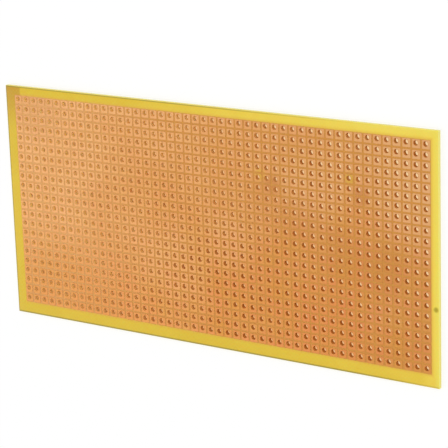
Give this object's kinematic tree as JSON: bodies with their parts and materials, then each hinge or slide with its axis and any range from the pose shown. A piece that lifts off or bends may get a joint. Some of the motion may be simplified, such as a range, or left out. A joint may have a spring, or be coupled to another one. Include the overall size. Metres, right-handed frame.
{
  "type": "prototype board",
  "caption": "Bare single-sided prototype board: a thin yellow laminate sheet with a close grid of separate square copper pads, each with a round drilled hole.",
  "frame": {"origin": "centre of the board's underside, on the surface it lies on", "axes": "+X along the long side, +Y along the short side towards the narrower long border, +Z out of the copper side"},
  "size_m": [0.1264, 0.0612, 0.001],
  "materials": {
    "laminate": "translucent yellow glass-epoxy laminate, satin",
    "copper": "bare copper foil, satin, lightly tarnished"
  },
  "bodies": {
    "root": {"laminate": "laminate", "pads_row_01": "copper", "pads_row_02": "copper", "pads_row_03": "copper", "pads_row_04": "copper", "pads_row_05": "copper", "pads_row_06": "copper", "pads_row_07": "copper", "pads_row_08": "copper", "pads_row_09": "copper", "pads_row_10": "copper", "pads_row_11": "copper", "pads_row_12": "copper", "pads_row_13": "copper", "pads_row_14": "copper", "pads_row_15": "copper", "pads_row_16": "copper", "pads_row_17": "copper", "pads_row_18": "copper", "pads_row_19": "copper", "pads_row_20": "copper", "pads_row_21": "copper", "pads_row_22": "copper"}
  },
  "joints": []
}
